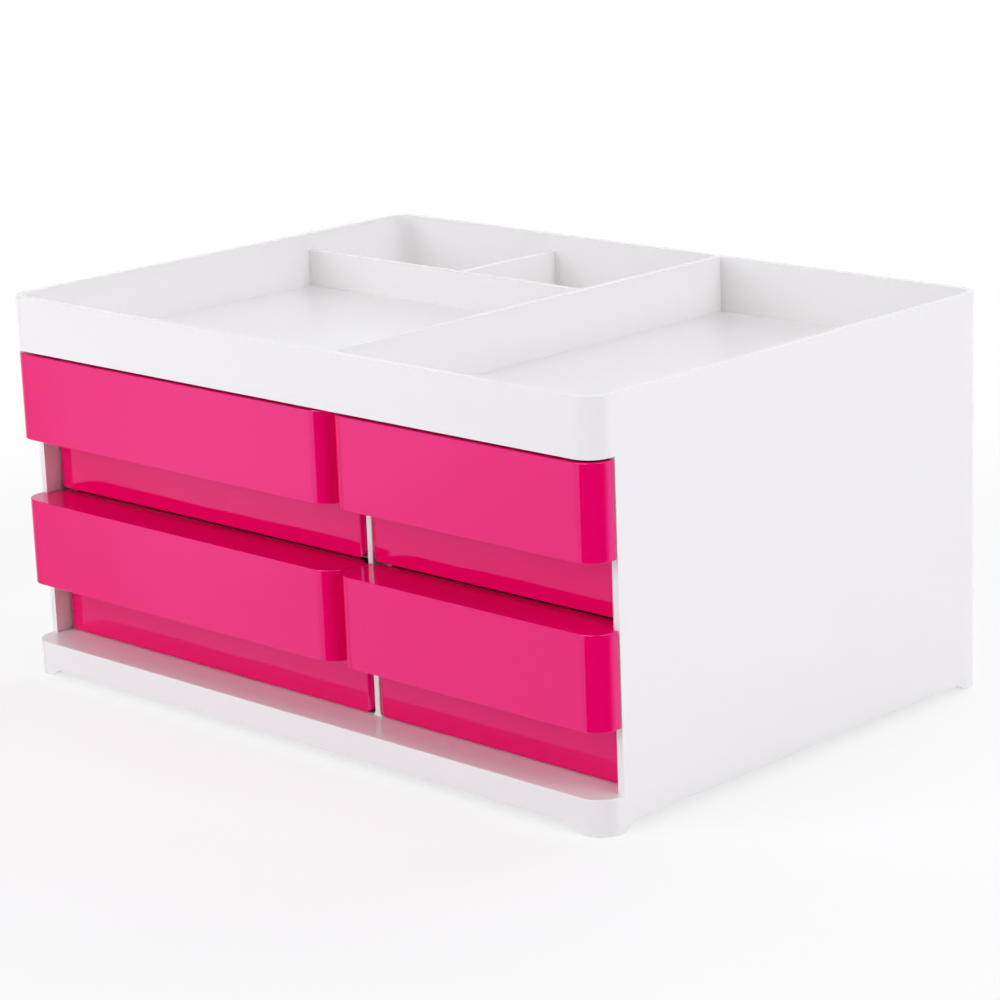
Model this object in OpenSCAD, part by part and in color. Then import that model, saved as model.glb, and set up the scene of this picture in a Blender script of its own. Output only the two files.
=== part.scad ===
// Desktop mini drawers: a white cabinet with an open tray on top and four pull-out drawers.
// X is the width, the front faces -Y, Z is up. The origin is under the middle, on the desk.

/* [Cabinet] */
// Width of the cabinet from side to side
cabinet_w = 256; // [230:1:320]
// Depth of the cabinet from front to back
cabinet_d = 180; // [160:1:230]
// Thickness of the cabinet walls
wall_t = 2.3; // [1.8:0.1:3]
// Radius of the cabinet's upright corners
corner_r = 7.7; // [5:0.1:9]
// Distance from the cabinet's front to the front edges of its side walls
side_setback = 9; // [7:0.5:11]
// Height of the ledge under the drawers, above the foot line
ledge_h = 8.7; // [8:0.05:16]
// Thickness of the cabinet floor
floor_t = 2; // [1.5:0.1:3]
// Width of the ledges that carry the shelves and the tray floor
support_w = 3; // [2:0.1:4]
// Thickness of those ledges
support_t = 1.8; // [1.2:0.1:2.2]

/* [Feet and ribs] */
// Height of the four corner feet
foot_h = 2.5; // [1.5:0.1:5]
// Width of a foot, from its outside face inwards
foot_w = 5; // [3:0.1:8]
// Straight length of a foot beyond the rounded corner
foot_run = 0.5; // [0:0.1:10]
// Length of the curve from a foot up to the foot line
foot_blend = 6.5; // [3:0.1:12]
// Thickness of the ribs under the cabinet floor
rib_t = 1.5; // [1:0.1:2.5]
// Depth of the ribs under the cabinet floor
rib_h = 5; // [3:0.1:6]
// Distance between the ribs under the cabinet floor
rib_pitch = 58; // [40:1:80]

/* [Tray] */
// Depth of the tray from its rim to its floor
tray_depth = 18.35; // [14:0.05:40]
// Thickness of the tray floor
tray_floor_t = 1.7; // [1.2:0.1:2.5]
// Thickness of the tray dividers
divider_t = 2.3; // [1.5:0.1:3]
// Distance of the long divider from the cabinet's middle, to the right
long_divider_mid_x = 22.7; // [-10:0.1:40]
// Height of the two low dividers above the tray floor
low_divider_h = 12.7; // [8:0.1:14]
// Clear depth of the two small compartments at the back
back_bay_d = 44.4; // [25:0.1:70]
// Clear width of the compartment in the back left corner
back_bay_w = 72.4; // [40:0.1:100]

/* [Partition and shelves] */
// Distance of the partition from the cabinet's middle, to the right
partition_x = 21.9; // [-10:0.1:40]
// Thickness of the partition
partition_t = 2.3; // [1.8:0.1:4]
// Distance from the cabinet's front to the partition's front edge
partition_setback = 15.2; // [13.5:0.1:16]
// Thickness of the shelves
shelf_t = 1.6; // [1.2:0.1:2.5]
// Distance from the cabinet's front to the shelves' front edges
shelf_setback = 20; // [18:0.5:40]

/* [Drawer boxes] */
// Height of a drawer box at its sides and back
box_h = 44; // [30:0.5:70]
// Height that a box's front wall has beyond its sides
front_rise = 2.1; // [1:0.1:4]
// Thickness of the drawer box walls and floor
box_t = 1.8; // [1.4:0.1:2.5]
// Radius of a box's upright edges
box_r = 1.8; // [1.5:0.1:4]
// Radius of a box's bottom edges along its sides
box_bottom_r = 3; // [2:0.1:4]
// Radius of a box's bottom edges at its front and back
box_toe_r = 1; // [0.5:0.1:2]
// Distance that a drawer slides out
travel = 130; // [60:1:135]

/* [Pulls] */
// Depth of a pull, from a box's front wall to the pull's front
pull_depth = 14.5; // [13.5:0.1:17]
// Height of a pull
pull_h = 28.6; // [20:0.1:36]
// Wall thickness of a pull
pull_t = 1.95; // [1.5:0.05:2.5]
// Radius of a pull's front corners
pull_r = 7; // [3:0.1:8]
// Distance from the cabinet's sides to the outer ends of the pulls
pull_inset = 0.4; // [0:0.1:1]
// Distance of the joint between a row's two pulls from the cabinet's middle, to the right
pull_joint_x = 21; // [-10:0.1:40]
// Distance from the end of a box to the middle of a clip arm
clip_inset = 30; // [12:1:40]
// Width of a clip arm
clip_w = 6; // [4:0.5:12]
// Thickness of a clip arm
clip_t = 1.6; // [1.2:0.1:2.2]
// Distance from a pull's top wall down to a clip arm
clip_drop = 7; // [4:0.5:10]
// Height of the barb on a clip arm
barb_h = 0.8; // [0.4:0.1:1.5]
// Length of the barb on a clip arm
barb_l = 1.4; // [1:0.1:3]

/* [Stops, tabs and back panel] */
// Width of a drawer stop
stop_w = 16; // [8:1:30]
// Length of a drawer stop, with its ramp
stop_l = 4; // [2:0.5:8]
// Depth to which a stop reaches below a box's rim
stop_catch = 1; // [0.5:0.1:3]
// Length of the tabs under the partition and the dividers
tab_l = 10; // [5:1:20]
// Distance by which a tab stops short of the far face of its floor
tab_short = 0.5; // [0.2:0.1:0.7]
// Distance from the ends of a partition or divider to the middles of its tabs
tab_inset = 16; // [12:1:20]
// Distance from the cabinet's sides to the back panel
panel_side = 14; // [12:1:30]
// Distance from the cabinet floor, and from the tray's ledge, to the back panel
panel_edge = 6; // [4:1:20]
// Width of the rim on which the back panel sits
panel_rim = 3; // [2:0.5:6]
// Thickness of the back panel's outer flange
panel_flange_t = 1.2; // [0.8:0.1:1.4]
// Width of a snap hook on the back panel
hook_w = 12; // [6:1:20]
// Distance from the panel's sides to the middle of a snap hook
hook_inset = 40; // [20:1:60]
// Thickness of the snap hooks' arms, and the reach of their noses
hook_t = 1.2; // [0.8:0.1:1.6]

/* [Clearances] */
// Gap between a drawer box and the wall or partition beside it
side_gap = 0.6; // [0.5:0.1:2]
// Gap between a drawer box and the back wall
back_gap = 3.7; // [3.3:0.1:6]
// Gap under a drawer box
glide_gap = 0.3; // [0.3:0.05:1]
// Least gap above a drawer box's rim
rim_gap = 0.9; // [0.3:0.1:2]
// Gap between a lower pull's top and the drawer box above it
row_gap = 1; // [0.4:0.1:3]
// Gap between the upper pulls and the fascia
fascia_gap = 0.8; // [0.4:0.1:3]
// Gap between the two pulls of a row
pull_gap = 0.6; // [0.5:0.1:3]
// Gap between a pull's ends and the wall edges behind them
edge_gap = 0.3; // [0.3:0.1:1]
// Gap between a drawer and its stop when the drawer is fully out
stop_gap = 0.4; // [0.3:0.1:1]
// Gap around tabs, clip arms, shelves and the back panel
fit_gap = 0.15; // [0.1:0.05:0.3]

/* [Hidden] */
$fn = 64;

// Colours of the two plastics
cabinet_white = [0.92, 0.91, 0.92];
drawer_pink = [0.87, 0.13, 0.45];

// How far a cut runs past the face that it cuts, and a joined shape into the one that it joins
past = 1;
// Steps in the curve at each end of a foot
blend_steps = 12;
// Smallest radius left where a wall is thicker than the fillet outside it
least_r = 0.3;

// Names of the two columns, and of the two rows from below
LEFT = 0;
RIGHT = 1;
LOWER = 0;
UPPER = 1;

// The cabinet's faces
side_x = cabinet_w / 2;
front_y = -cabinet_d / 2;
back_y = cabinet_d / 2;
inner_x = side_x - wall_t;
inner_front_y = front_y + wall_t;
inner_back_y = back_y - wall_t;
wall_front_y = front_y + side_setback;
floor_z = foot_h + ledge_h;

// The partition's faces, as the right side of the left column and the left side of the right one
partition_faces = [partition_x - partition_t / 2, partition_x + partition_t / 2];
partition_front_y = front_y + partition_setback;

// Each column's walls: its bay, its drawer box and its pull, from left to right
bay_x = [[-inner_x, partition_faces[0]], [partition_faces[1], inner_x]];
box_x = [for (bay = bay_x) [bay[0] + side_gap, bay[1] - side_gap]];
pull_x = [
  [pull_inset - side_x, pull_joint_x - pull_gap / 2],
  [pull_joint_x + pull_gap / 2, side_x - pull_inset],
];

// The drawer boxes from front to back
box_front_y = front_y + pull_depth;
box_back_y = inner_back_y - back_gap;
front_wall_h = box_h + front_rise;
pull_top_h = front_wall_h + pull_t;
pull_bottom_h = pull_top_h - pull_h;
pull_back_y = box_front_y + box_t;
pull_corner_r = min(pull_r, side_setback - edge_gap - least_r);

// Where a pull's ends stop: at a side wall's front edge, and at the partition's
pull_outer_end_y = wall_front_y - edge_gap;
pull_inner_end_y = min(partition_front_y, box_front_y) - edge_gap;
pull_end_y = [[pull_outer_end_y, pull_inner_end_y], [pull_inner_end_y, pull_outer_end_y]];

// Heights, from the cabinet floor upwards. The shelves clear the lower boxes, and the upper boxes
// the lower pulls.
lower_z = floor_z + glide_gap;
shelf_z = max(
  lower_z + box_h + rim_gap + support_t,
  lower_z + pull_top_h + row_gap - glide_gap - shelf_t
);
upper_z = shelf_z + shelf_t + glide_gap;
row_z = [lower_z, upper_z];
ceiling_z = [shelf_z, upper_z + box_h + rim_gap + support_t];
tray_floor_z = ceiling_z[UPPER];
tray_z = tray_floor_z + tray_floor_t;
fascia_z = upper_z + pull_top_h + fascia_gap;
rim_z = tray_z + tray_depth;

// The tray floor steps up over the upper pulls
step_y = pull_back_y + edge_gap;
step_z = fascia_z + tray_floor_t;

// The shelves and their ledges start behind the pulls
shelf_front_y = max(front_y + shelf_setback, step_y);

// Tray dividers
long_divider_x = long_divider_mid_x - divider_t / 2;
cross_divider_y = inner_back_y - back_bay_d - divider_t;
short_divider_x = -inner_x + back_bay_w;

// The stops' back faces, where the box's back wall meets them
stop_y = box_back_y - box_t - travel - stop_gap;

// The back panel's edges
panel_x = side_x - panel_side;
panel_z = [floor_z + panel_edge, tray_floor_z - support_t - panel_edge];

// ---- Shapes used more than once ----

// A box from one corner to the other
module block(low, high) {
  translate(low) cube([for (i = [0 : 2]) high[i] - low[i]]);
}

// A flat rectangle with all four corners rounded
module rounded_rect(low, high, r) {
  translate([low[0] + r, low[1]]) square([high[0] - low[0] - 2 * r, high[1] - low[1]]);
  translate([low[0], low[1] + r]) square([high[0] - low[0], high[1] - low[1] - 2 * r]);
  for (x = [low[0] + r, high[0] - r]) {
    for (y = [low[1] + r, high[1] - r]) {
      translate([x, y]) circle(r);
    }
  }
}

// An upright block with the cabinet's plan, moved inwards by an inset
module cabinet_block(inset, low_z, high_z) {
  translate([0, 0, low_z])
    linear_extrude(high_z - low_z)
      rounded_rect(
        [inset - side_x, front_y + inset],
        [side_x - inset, back_y - inset],
        max(corner_r - inset, least_r)
      );
}

// A flat outline in Y and Z, drawn out along X
module along_x(low_x, high_x) {
  translate([low_x, 0, 0])
    rotate([90, 0, 90])
      linear_extrude(high_x - low_x)
        children();
}

// A flat outline in X and Z, drawn out along Y
module along_y(low_y, high_y) {
  translate([0, high_y, 0])
    rotate([90, 0, 0])
      linear_extrude(high_y - low_y)
        children();
}

// Two tabs under an upright plate that runs along Y; grow makes them into their slots
module tabs_along_y(x, t, ends, top_z, depth, grow) {
  half = tab_l / 2 + grow;
  for (y = [ends[0] + tab_inset, ends[1] - tab_inset]) {
    block([x - grow, y - half, top_z - depth], [x + t + grow, y + half, top_z + past]);
  }
}

// The same for a plate that runs along X
module tabs_along_x(y, t, ends, top_z, depth, grow) {
  half = tab_l / 2 + grow;
  for (x = [ends[0] + tab_inset, ends[1] - tab_inset]) {
    block([x - half, y - grow, top_z - depth], [x + half, y + t + grow, top_z + past]);
  }
}

module partition_tabs(depth, grow) {
  ends = [partition_front_y, inner_back_y];
  tabs_along_y(partition_faces[0], partition_t, ends, floor_z, depth, grow);
}

module long_divider_tabs(depth, grow) {
  ends = [step_y + tray_floor_t, inner_back_y];
  tabs_along_y(long_divider_x, divider_t, ends, tray_z, depth, grow);
}

module cross_divider_tabs(depth, grow) {
  ends = [-inner_x, long_divider_x];
  tabs_along_x(cross_divider_y, divider_t, ends, tray_z, depth, grow);
}

module short_divider_tabs(depth, grow) {
  ends = [cross_divider_y + divider_t, inner_back_y];
  tabs_along_y(short_divider_x, divider_t, ends, tray_z, depth, grow);
}

// A low bump under a ceiling of thickness t: a ramp in front, and an upright back that stops the drawer
module drawer_stop(column, row, t) {
  middle = (bay_x[column][0] + bay_x[column][1]) / 2;
  tip_z = row_z[row] + box_h - stop_catch;
  root_z = ceiling_z[row] + t / 2;
  along_x(middle - stop_w / 2, middle + stop_w / 2)
    polygon([
      [stop_y - stop_l, root_z],
      [stop_y - stop_l, ceiling_z[row]],
      [stop_y - stop_l / 3, tip_z],
      [stop_y, tip_z],
      [stop_y, root_z],
    ]);
}

// ---- Cabinet ----

// The curve at one end of a foot, from the foot line down to the desk
function foot_curve(from, to) = [
  for (i = [0 : blend_steps]) [
    from + (to - from) * i / blend_steps,
    foot_h * (1 + cos(180 * i / blend_steps)) / 2,
  ]
];

// The side view of two feet, with the gap between them, across a width of 2 * half
module feet_profile(half) {
  flat = half - corner_r - foot_run;
  top = foot_h + 2 * past;
  for (side = [-1, 1]) {
    polygon(concat(
      foot_curve(side * (flat - foot_blend), side * flat),
      [[side * half, 0], [side * half, top], [side * (flat - foot_blend), top]]
    ));
  }
}

// Feet: the cabinet's lower edge, kept only where both side views show a foot
module feet() {
  intersection() {
    difference() {
      cabinet_block(0, 0, foot_h + past);
      cabinet_block(foot_w, -past, foot_h + 2 * past);
    }
    along_y(front_y, back_y) feet_profile(side_x);
    along_x(-side_x, side_x) feet_profile(back_y);
  }
}

// Ribs under the cabinet floor, both ways, with their ends and tops inside the shell's walls
module floor_ribs() {
  low = floor_z - floor_t - rib_h;
  high = floor_z - floor_t / 2;
  end = [side_x - wall_t / 2, back_y - wall_t / 2];
  count_x = floor((inner_x - wall_t) / rib_pitch);
  count_y = floor((inner_back_y - wall_t) / rib_pitch);
  for (i = [-count_x : count_x]) {
    x = i * rib_pitch;
    block([x - rib_t / 2, -end[1], low], [x + rib_t / 2, end[1], high]);
  }
  for (i = [-count_y : count_y]) {
    y = i * rib_pitch;
    block([-end[0], y - rib_t / 2, low], [end[0], y + rib_t / 2, high]);
  }
}

// Ledges on the side walls, with their tops at the given height
module side_ledges(top_z, from_y) {
  ledge_x = inner_x - support_w;
  block([-side_x, from_y, top_z - support_t], [-ledge_x, back_y, top_z]);
  block([ledge_x, from_y, top_z - support_t], [side_x, back_y, top_z]);
}

// The opening in the back wall, with a rebate for the panel's flange
module back_opening() {
  hole_x = panel_x - panel_rim;
  block([-panel_x, back_y - panel_flange_t, panel_z[0]], [panel_x, back_y + past, panel_z[1]]);
  block(
    [-hole_x, inner_back_y - past, panel_z[0] + panel_rim],
    [hole_x, back_y, panel_z[1] - panel_rim]
  );
}

// The walls and the floor, open at the front between the ledge and the fascia
module shell_walls() {
  difference() {
    cabinet_block(0, foot_h, rim_z);
    // the room above the cabinet floor, and the hollow below it
    cabinet_block(wall_t, floor_z, rim_z + past);
    cabinet_block(wall_t, foot_h - past, floor_z - floor_t);
    block([-side_x - past, front_y - past, floor_z], [side_x + past, wall_front_y, fascia_z]);
    back_opening();
  }
}

// A ledge on the back wall for the tray floor, with a gap for the partition's top corner
module back_ledge() {
  front = inner_back_y - support_w;
  low = tray_floor_z - support_t;
  difference() {
    block([-side_x, front, low], [side_x, back_y, tray_floor_z]);
    block(
      [partition_faces[0] - fit_gap, front - past, low - past],
      [partition_faces[1] + fit_gap, inner_back_y, tray_floor_z + past]
    );
  }
}

// The ledges for the shelves and the tray floor
module shell_ledges() {
  intersection() {
    union() {
      side_ledges(shelf_z, shelf_front_y);
      side_ledges(tray_floor_z, step_y);
      back_ledge();
    }
    cabinet_block(wall_t / 2, floor_z, rim_z);
  }
}

module outer_shell() color(cabinet_white) {
  difference() {
    union() {
      shell_walls();
      shell_ledges();
      floor_ribs();
      feet();
    }
    partition_tabs(floor_t + past, fit_gap);
  }
}

// A snap hook on the panel's inner face: dir is 1 at the panel's top edge and -1 at its bottom edge
module panel_hook(middle, edge_z, dir) {
  nose_y = inner_back_y - fit_gap;
  root_y = back_y - panel_flange_t;
  along_x(middle - hook_w / 2, middle + hook_w / 2)
    polygon([
      [root_y, edge_z],
      [inner_back_y, edge_z],
      [nose_y, edge_z + dir * hook_t],
      [nose_y - hook_t, edge_z],
      [nose_y - hook_t, edge_z - dir * hook_t],
      [root_y, edge_z - dir * hook_t],
    ]);
}

// A flanged plate that snaps into the back opening from behind
module back_panel() color(cabinet_white) {
  flange_x = panel_x - fit_gap;
  plug_x = flange_x - panel_rim;
  flange_z = [panel_z[0] + fit_gap, panel_z[1] - fit_gap];
  plug_z = [flange_z[0] + panel_rim, flange_z[1] - panel_rim];
  block([-flange_x, back_y - panel_flange_t, flange_z[0]], [flange_x, back_y, flange_z[1]]);
  block([-plug_x, inner_back_y, plug_z[0]], [plug_x, back_y - panel_flange_t / 2, plug_z[1]]);
  for (x = [-panel_x + hook_inset, panel_x - hook_inset]) {
    panel_hook(x, plug_z[0], -1);
    panel_hook(x, plug_z[1], 1);
  }
}

module centre_partition() color(cabinet_white) {
  block(
    [partition_faces[0], partition_front_y, floor_z],
    [partition_faces[1], inner_back_y, tray_floor_z]
  );
  partition_tabs(floor_t - tab_short, 0);
  block(
    [partition_faces[0] - support_w, shelf_front_y, shelf_z - support_t],
    [partition_faces[1] + support_w, inner_back_y, shelf_z]
  );
}

// A shelf on the ledges of one column, with the stop for the drawer below it
module shelf(column) color(cabinet_white) {
  intersection() {
    block(
      [bay_x[column][0] + fit_gap, shelf_front_y, shelf_z],
      [bay_x[column][1] - fit_gap, inner_back_y - fit_gap, shelf_z + shelf_t]
    );
    cabinet_block(wall_t + fit_gap, floor_z, rim_z);
  }
  drawer_stop(column, LOWER, shelf_t);
}

// ---- Tray ----

module tray_floor() color(cabinet_white) {
  riser_y = step_y + tray_floor_t;
  difference() {
    intersection() {
      along_x(-inner_x, inner_x)
        polygon([
          [inner_front_y, fascia_z],
          [step_y, fascia_z],
          [step_y, tray_floor_z],
          [inner_back_y, tray_floor_z],
          [inner_back_y, tray_z],
          [riser_y, tray_z],
          [riser_y, step_z],
          [inner_front_y, step_z],
        ]);
      cabinet_block(wall_t, floor_z, rim_z);
    }
    long_divider_tabs(tray_floor_t + past, fit_gap);
    cross_divider_tabs(tray_floor_t + past, fit_gap);
    short_divider_tabs(tray_floor_t + past, fit_gap);
  }
  drawer_stop(LEFT, UPPER, tray_floor_t);
  drawer_stop(RIGHT, UPPER, tray_floor_t);
}

// Runs from the fascia to the back wall at the rim's height, over the step in the floor
module long_tray_divider() color(cabinet_white) {
  riser_y = step_y + tray_floor_t;
  along_x(long_divider_x, long_divider_x + divider_t)
    polygon([
      [inner_front_y, step_z],
      [riser_y, step_z],
      [riser_y, tray_z],
      [inner_back_y, tray_z],
      [inner_back_y, rim_z],
      [inner_front_y, rim_z],
    ]);
  long_divider_tabs(tray_floor_t - tab_short, 0);
}

module cross_tray_divider() color(cabinet_white) {
  block(
    [-inner_x, cross_divider_y, tray_z],
    [long_divider_x, cross_divider_y + divider_t, tray_z + low_divider_h]
  );
  cross_divider_tabs(tray_floor_t - tab_short, 0);
}

module short_tray_divider() color(cabinet_white) {
  block(
    [short_divider_x, cross_divider_y + divider_t, tray_z],
    [short_divider_x + divider_t, inner_back_y, tray_z + low_divider_h]
  );
  short_divider_tabs(tray_floor_t - tab_short, 0);
}

// ---- Drawers ----

// A block with rounded upright edges and bottom edges: side_r along the sides, toe_r at front and back
module round_bottom_block(x, y, z, upright_r, side_r, toe_r) {
  intersection() {
    translate([0, 0, z[0]])
      linear_extrude(z[1] - z[0])
        rounded_rect([x[0], y[0]], [x[1], y[1]], upright_r);
    along_x(x[0], x[1]) rounded_rect([y[0], z[0]], [y[1], z[1] + 2 * toe_r], toe_r);
    along_y(y[0], y[1]) rounded_rect([x[0], z[0]], [x[1], z[1] + 2 * side_r], side_r);
  }
}

// The middles of a drawer's two clip arms
function clip_x(column) = [box_x[column][0] + clip_inset, box_x[column][1] - clip_inset];

module drawer_box(column, row) color(drawer_pink) {
  x = box_x[column];
  y = [box_front_y, box_back_y];
  z = row_z[row];
  clip_z = z + front_wall_h - clip_drop;
  difference() {
    round_bottom_block(x, y, [z, z + front_wall_h], box_r, box_bottom_r, box_toe_r);
    round_bottom_block(
      [x[0] + box_t, x[1] - box_t],
      [y[0] + box_t, y[1] - box_t],
      [z + box_t, z + front_wall_h + past],
      max(box_r - box_t, least_r),
      max(box_bottom_r - box_t, least_r),
      max(box_toe_r - box_t, least_r)
    );
    // behind the front wall, the sides and the back are lower
    block([x[0] - past, y[0] + box_t, z + box_h], [x[1] + past, y[1] + past, z + front_wall_h + past]);
    // slots for the clip arms
    for (middle = clip_x(column)) {
      block(
        [middle - clip_w / 2 - fit_gap, y[0] - past, clip_z - clip_t - fit_gap],
        [middle + clip_w / 2 + fit_gap, y[0] + box_t + past, clip_z + barb_h + fit_gap]
      );
    }
  }
}

// The plan of a pull: its full width at the front, and the box's width between the cabinet walls
module pull_plan(column, inset) {
  r = pull_corner_r - inset;
  front = front_y + inset;
  wide = [pull_x[column][0] + inset, pull_x[column][1] - inset];
  narrow = [box_x[column][0] + inset, box_x[column][1] - inset];
  ends = [pull_end_y[column][0] - inset, pull_end_y[column][1] - inset];
  intersection() {
    rounded_rect([wide[0], front], [wide[1], box_front_y + 2 * r + past], r);
    union() {
      translate([narrow[0], front]) square([narrow[1] - narrow[0], box_front_y - front]);
      translate([wide[0], front]) square([narrow[0] - wide[0] + past, ends[0] - front]);
      translate([narrow[1] - past, front]) square([wide[1] - narrow[1] + past, ends[1] - front]);
    }
  }
}

// A barbed arm from the pull's front wall, through the box's front wall
module clip_arm(middle, top_z) {
  barb_y = pull_back_y + fit_gap;
  along_x(middle - clip_w / 2, middle + clip_w / 2)
    polygon([
      [front_y + pull_t / 2, top_z - clip_t],
      [barb_y + barb_l, top_z - clip_t],
      [barb_y + barb_l, top_z],
      [barb_y, top_z + barb_h],
      [barb_y, top_z],
      [front_y + pull_t / 2, top_z],
    ]);
}

// A hollow front, open below for the fingers, that clips on to the drawer box
module pull(column, row) color(drawer_pink) {
  z = row_z[row];
  top_z = z + front_wall_h;
  difference() {
    translate([0, 0, z + pull_bottom_h])
      linear_extrude(pull_h)
        pull_plan(column, 0);
    translate([0, 0, z + pull_bottom_h - past])
      linear_extrude(pull_h - pull_t + past)
        pull_plan(column, pull_t);
  }
  // the top wall reaches back over the box's front wall
  block(
    [box_x[column][0] + box_r, box_front_y - past, top_z],
    [box_x[column][1] - box_r, pull_back_y, top_z + pull_t]
  );
  for (middle = clip_x(column)) {
    clip_arm(middle, top_z - clip_drop);
  }
}

module upper_left_drawer_box() drawer_box(LEFT, UPPER);
module upper_right_drawer_box() drawer_box(RIGHT, UPPER);
module lower_left_drawer_box() drawer_box(LEFT, LOWER);
module lower_right_drawer_box() drawer_box(RIGHT, LOWER);
module upper_left_pull() pull(LEFT, UPPER);
module upper_right_pull() pull(RIGHT, UPPER);
module lower_left_pull() pull(LEFT, LOWER);
module lower_right_pull() pull(RIGHT, LOWER);
module left_shelf() shelf(LEFT);
module right_shelf() shelf(RIGHT);

outer_shell();
back_panel();
centre_partition();
left_shelf();
right_shelf();
tray_floor();
long_tray_divider();
cross_tray_divider();
short_tray_divider();
upper_left_drawer_box();
upper_left_pull();
upper_right_drawer_box();
upper_right_pull();
lower_left_drawer_box();
lower_left_pull();
lower_right_drawer_box();
lower_right_pull();
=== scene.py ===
# %% [markdown]
# # Desktop mini drawers
# A white cabinet with an open tray on top holds four pink drawers. The cabinet and each drawer are
# injection moulded plastic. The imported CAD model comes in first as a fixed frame: it gives every
# piece its size, its place and the body that it moves with.

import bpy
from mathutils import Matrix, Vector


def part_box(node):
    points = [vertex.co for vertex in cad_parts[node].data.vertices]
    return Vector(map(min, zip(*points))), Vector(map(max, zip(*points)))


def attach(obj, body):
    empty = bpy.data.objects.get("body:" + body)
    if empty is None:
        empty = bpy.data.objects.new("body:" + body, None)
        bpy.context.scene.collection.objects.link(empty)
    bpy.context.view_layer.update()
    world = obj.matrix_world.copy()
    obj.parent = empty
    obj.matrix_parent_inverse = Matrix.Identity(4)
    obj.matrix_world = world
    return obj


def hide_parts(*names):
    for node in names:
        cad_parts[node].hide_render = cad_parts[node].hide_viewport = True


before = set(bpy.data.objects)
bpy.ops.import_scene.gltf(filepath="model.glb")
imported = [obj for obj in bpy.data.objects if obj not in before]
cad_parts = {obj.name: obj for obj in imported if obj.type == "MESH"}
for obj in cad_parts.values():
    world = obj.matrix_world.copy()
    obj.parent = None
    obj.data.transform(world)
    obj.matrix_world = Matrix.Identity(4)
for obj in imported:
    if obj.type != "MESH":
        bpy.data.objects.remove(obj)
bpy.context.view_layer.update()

# %% [markdown]
# The camera comes before the pieces, because it decides which edges and faces deserve the most care.
# It stands in front of the right corner, a little above the tray, with a long lens that keeps the
# upright edges nearly parallel. Its direction is made of three plain turns: round Z, down from the
# horizon, and a small roll of the picture.

# %% Camera
import math

import bpy
from mathutils import Matrix, Vector

CAMERA_PLACE = (0.703019, -0.712914, 0.325283)
CAMERA_TURN = 44.43427
CAMERA_DROP = 14.88111
CAMERA_ROLL = -2.13441
LENS_MM = 116.09


def camera_direction(turn, drop, roll):
    """The turns of a camera that looks along +Y, lowered by drop and rolled, then turned round Z."""
    upright = Matrix.Rotation(math.radians(90 - drop), 4, "X")
    return (
        Matrix.Rotation(math.radians(turn), 4, "Z")
        @ upright
        @ Matrix.Rotation(math.radians(roll), 4, "Z")
    )


bpy.ops.object.camera_add()
camera = bpy.context.object
camera.name = "camera"
camera.matrix_world = Matrix.Translation(CAMERA_PLACE) @ camera_direction(
    CAMERA_TURN, CAMERA_DROP, CAMERA_ROLL
)
camera.data.lens = LENS_MM
camera.data.clip_start = 0.01
bpy.context.scene.camera = camera
print("camera at", tuple(round(v, 3) for v in camera.location), "lens", LENS_MM, "mm")

# %% Colours and nodes
def linear(hex_colour):
    """An sRGB hex colour as the linear values that a shader works with."""
    channels = [int(hex_colour[i : i + 2], 16) / 255 for i in (1, 3, 5)]
    return tuple(
        c / 12.92 if c <= 0.04045 else ((c + 0.055) / 1.055) ** 2.4 for c in channels
    ) + (1.0,)


def add_node(tree, kind, settings=None, **inputs):
    """A new node, with its settings, and with each input given a value or linked to an output."""
    node = tree.nodes.new(kind)
    for name, value in (settings or {}).items():
        setattr(node, name, value)
    for name, value in inputs.items():
        socket = node.inputs[name.replace("_", " ")]
        if isinstance(value, bpy.types.NodeSocket):
            tree.links.new(value, socket)
        else:
            socket.default_value = value
    return node


def new_material(name):
    """An empty material; the shader and its output are added by the caller."""
    material = bpy.data.materials.new(name)
    material.use_nodes = True
    material.node_tree.nodes.clear()
    return material


# %% White ABS
WHITE = "#F3F1F0"
WHITE_DRIFT = "#F1EFEE"


def plastic(name, colour, drift, shine, waves, settings):
    """A moulded plastic: a slow drift in colour, a slightly uneven gloss and a gently wavy skin."""
    material = new_material(name)
    tree = material.node_tree
    place = add_node(tree, "ShaderNodeTexCoord").outputs["Object"]
    cloud = add_node(
        tree, "ShaderNodeTexNoise", Vector=place, Scale=1 / 0.04, Detail=2.0, Roughness=0.5
    )
    tint = add_node(tree, "ShaderNodeMix", {"data_type": "RGBA"})
    tree.links.new(cloud.outputs["Fac"], tint.inputs["Factor"])
    tint.inputs[6].default_value = linear(colour)
    tint.inputs[7].default_value = linear(drift)
    grain = add_node(tree, "ShaderNodeTexNoise", Vector=place, Scale=1 / 0.003, Detail=3.0)
    gloss = add_node(
        tree, "ShaderNodeMapRange", Value=grain.outputs["Fac"], To_Min=shine[0], To_Max=shine[1]
    )
    normal = None
    for length, height in waves:
        noise = add_node(tree, "ShaderNodeTexNoise", Vector=place, Scale=1 / length, Detail=1.0)
        bump = add_node(
            tree, "ShaderNodeBump", Height=noise.outputs["Fac"], Distance=height, Strength=1.0
        )
        if normal:
            tree.links.new(normal, bump.inputs["Normal"])
        normal = bump.outputs["Normal"]
    surface = add_node(
        tree, "ShaderNodeBsdfPrincipled", Base_Color=tint.outputs[2],
        Roughness=gloss.outputs["Result"], Normal=normal, **settings,
    )
    add_node(tree, "ShaderNodeOutputMaterial", Surface=surface.outputs[0])
    return material


white_abs = plastic(
    "white_moulded_abs", WHITE, WHITE_DRIFT, shine=(0.14, 0.2),
    waves=((0.05, 0.00018), (0.0014, 0.000002)), settings={"IOR": 1.53},
)

# %% Pink
PINK = "#F40266"
PINK_DRIFT = "#F10164"
PINK_GLOSS = (0.52, 0.31, 1.0, 1.0)

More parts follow.
